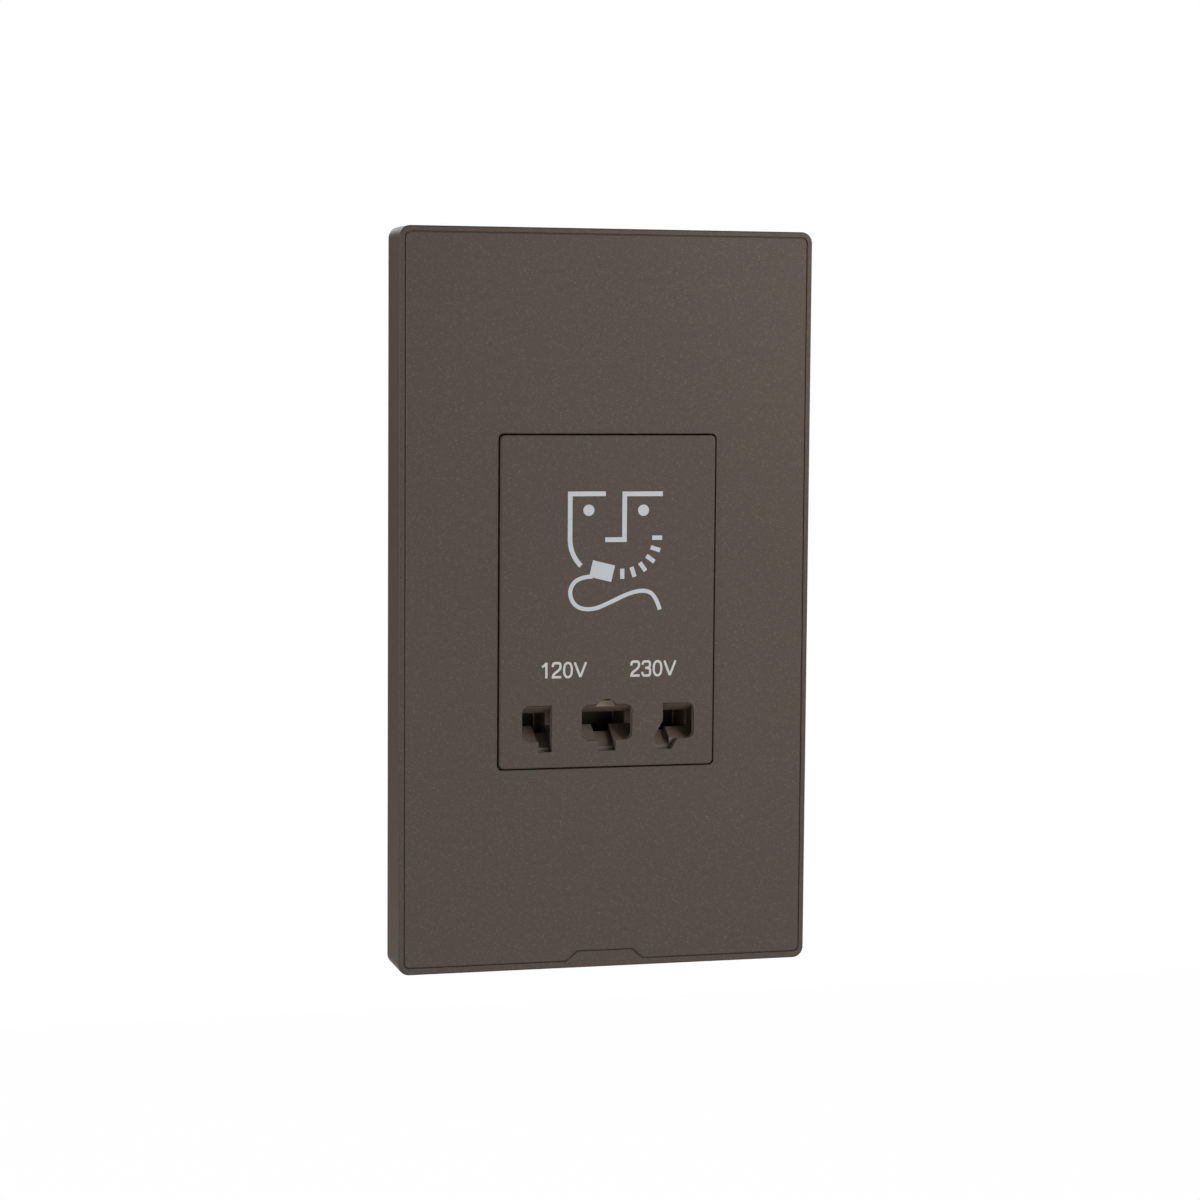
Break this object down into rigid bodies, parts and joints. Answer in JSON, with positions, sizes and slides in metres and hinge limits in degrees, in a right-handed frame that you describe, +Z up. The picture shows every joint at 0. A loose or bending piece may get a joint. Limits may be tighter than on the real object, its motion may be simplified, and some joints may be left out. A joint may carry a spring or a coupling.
{
  "type": "shaver supply socket",
  "caption": "Wall-mounted dual-voltage shaver supply socket with a sprung pin shutter, an isolating transformer and a clip-on bronze cover plate.",
  "frame": {"origin": "on the wall plane, midway between the two box fixing screw holes", "axes": "+Z up, +X to the right seen from the room, +Y into the wall; the front faces -Y"},
  "size_m": [0.086, 0.0485, 0.1504],
  "materials": {
    "frame_finish": "satin bronze-brown with fine metal flake",
    "panel_finish": "satin bronze-brown with fine metal flake",
    "face_finish": "satin bronze-brown with fine metal flake",
    "shutter_finish": "moulded in the face's colour",
    "support_plastic": "pale grey glass-filled moulding",
    "housing_plastic": "black flame-retardant moulding",
    "carrier_plastic": "black insulating moulding",
    "spring_steel": "bright drawn wire",
    "contact_metal": "dull phosphor bronze strip",
    "board_laminate": "green coated laminate",
    "switch_plastic": "black case",
    "plunger_plastic": "red moulding",
    "tinned_pin": "tinned",
    "lamination_steel": "varnished stacked sheet",
    "bobbin_nylon": "natural nylon",
    "copper_wire": "enamelled copper wire",
    "yellow_tape": "polyester film",
    "plated_steel": "zinc plated",
    "cutout_case": "black case",
    "terminal_brass": "bright machined brass",
    "ink": "pale grey print on the face"
  },
  "bodies": {
    "socket": {"cover_frame": "frame_finish", "cover_panel": "panel_finish", "socket_face": "face_finish", "support_frame": "support_plastic", "rear_housing": "housing_plastic", "contact_carrier": "carrier_plastic", "shutter_spring_left": "spring_steel", "shutter_spring_right": "spring_steel", "contact_120v": "contact_metal", "contact_common": "contact_metal", "contact_230v": "contact_metal", "circuit_board": "board_laminate", "switch_body": "switch_plastic", "switch_pins": "tinned_pin", "bobbin_pins": "tinned_pin", "core_e_stack": "lamination_steel", "core_i_stack": "lamination_steel", "coil_bobbin": "bobbin_nylon", "primary_winding": "copper_wire", "secondary_winding": "copper_wire", "primary_tape": "yellow_tape", "secondary_tape": "yellow_tape", "core_clamp": "plated_steel", "housing_screws": "plated_steel", "clamp_screws": "plated_steel", "terminal_screws": "plated_steel", "thermal_cutout": "cutout_case", "terminal_live": "terminal_brass", "terminal_neutral": "terminal_brass", "busbar_live": "terminal_brass", "busbar_neutral": "terminal_brass"},
    "shutter": {"shutter": "shutter_finish"},
    "plunger": {"switch_plunger": "plunger_plastic"}
  },
  "joints": [
    {"name": "shutter_slide", "type": "slide", "parent": "socket", "child": "shutter", "axis": [0, 0, -1], "range_m": [0, 0.0025], "stiffness_N_per_m": 200, "springref_m": -0.003, "deforming": ["shutter_spring_left", "shutter_spring_right"]},
    {"name": "plunger_slide", "type": "slide", "parent": "socket", "child": "plunger", "axis": [0, 1, 0], "range_m": [0, 0.00125]}
  ],
  "couplings": [
    {"joint": "plunger_slide", "follows": "shutter_slide", "ratio": 0.5}
  ]
}
